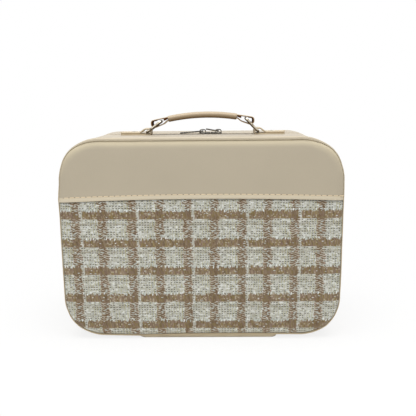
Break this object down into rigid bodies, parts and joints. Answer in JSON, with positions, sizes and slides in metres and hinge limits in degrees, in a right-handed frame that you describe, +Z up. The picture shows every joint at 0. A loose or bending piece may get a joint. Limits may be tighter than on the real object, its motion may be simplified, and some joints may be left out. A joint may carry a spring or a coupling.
{
  "type": "vanity case",
  "caption": "Upright padded vanity case with a zip round it, a tweed front panel under a leather yoke, and a looped top handle on wire rings.",
  "frame": {"origin": "middle of the underside of the case, where it stands", "axes": "+Z up, +X along the width to the right of the tweed front, the front faces -Y"},
  "size_m": [0.3, 0.135, 0.2447],
  "materials": {
    "case_leather": "soft satin, fine grain",
    "handle_leather": "satin, tan",
    "tweed": "woven plaid",
    "lining": "matte",
    "board": "matte",
    "foam": "soft",
    "metal": "polished",
    "zip_tape": "woven",
    "zip_chain": "satin",
    "mirror": "polished"
  },
  "bodies": {
    "root": {"body_gusset_leather": "case_leather", "body_gusset_foam": "foam", "body_gusset_board": "board", "body_lining_wall": "lining", "front_board": "board", "front_foam": "foam", "front_yoke": "case_leather", "front_tweed": "tweed", "front_piping": "case_leather", "front_lining_panel": "lining", "body_zip_tape": "zip_tape", "body_zip_teeth": "zip_chain", "hinge_patch_body": "case_leather", "tab_left": "handle_leather", "tab_right": "handle_leather", "tab_rivets": "metal", "tab_washers": "metal", "divider_long": "lining", "divider_upper": "lining", "divider_lower": "lining"},
    "lid": {"lid_gusset_leather": "case_leather", "lid_gusset_foam": "foam", "lid_gusset_board": "board", "lid_lining_wall": "lining", "rear_board": "board", "rear_foam": "foam", "rear_cover": "case_leather", "rear_piping": "case_leather", "lid_lining_panel": "lining", "lid_zip_tape": "zip_tape", "lid_zip_teeth": "zip_chain", "hinge_patch_lid": "case_leather", "mirror_glass": "mirror", "mirror_frame": "case_leather", "lid_pocket": "lining", "pocket_binding": "case_leather"},
    "handle": {"handle_strap": "handle_leather", "handle_core": "board", "handle_wrap": "handle_leather"},
    "ring_left": {"ring_left": "metal"},
    "ring_right": {"ring_right": "metal"},
    "slider_left": {"slider_left": "metal"},
    "slider_right": {"slider_right": "metal"},
    "pull_left": {"pull_left": "metal"},
    "pull_right": {"pull_right": "metal"}
  },
  "joints": [
    {"name": "lid_hinge", "type": "hinge", "parent": "root", "child": "lid", "pos_m": [0.0068, 0.01, 0], "axis": [-1, 0, 0], "range_deg": [0, 170]},
    {"name": "handle_lift", "type": "slide", "parent": "root", "child": "handle", "axis": [0, 0, 1], "range_m": [-0.004, 0.003]},
    {"name": "ring_left_turn", "type": "hinge", "parent": "root", "child": "ring_left", "pos_m": [-0.0599, -0.0065, 0.2228], "axis": [0, 1, 0], "range_deg": [-10.5, 14]},
    {"name": "ring_right_turn", "type": "hinge", "parent": "root", "child": "ring_right", "pos_m": [0.0637, -0.0065, 0.2228], "axis": [0, 1, 0], "range_deg": [-15.5, 11.5]},
    {"name": "slider_left_slide", "type": "slide", "parent": "root", "child": "slider_left", "axis": [-1, 0, 0], "range_m": [0, 0.095]},
    {"name": "slider_right_slide", "type": "slide", "parent": "root", "child": "slider_right", "axis": [1, 0, 0], "range_m": [0, 0.075]},
    {"name": "pull_left_turn", "type": "hinge", "parent": "slider_left", "child": "pull_left", "pos_m": [0.0016, 0.01, 0.22215], "axis": [0, 1, 0], "range_deg": [0, 95]},
    {"name": "pull_right_turn", "type": "hinge", "parent": "slider_right", "child": "pull_right", "pos_m": [0.0196, 0.01, 0.22215], "axis": [0, 1, 0], "range_deg": [0, 163]}
  ],
  "couplings": [
    {"joint": "ring_left_turn", "follows": "handle_lift", "rad_per_m": -56},
    {"joint": "ring_right_turn", "follows": "handle_lift", "rad_per_m": 63}
  ]
}
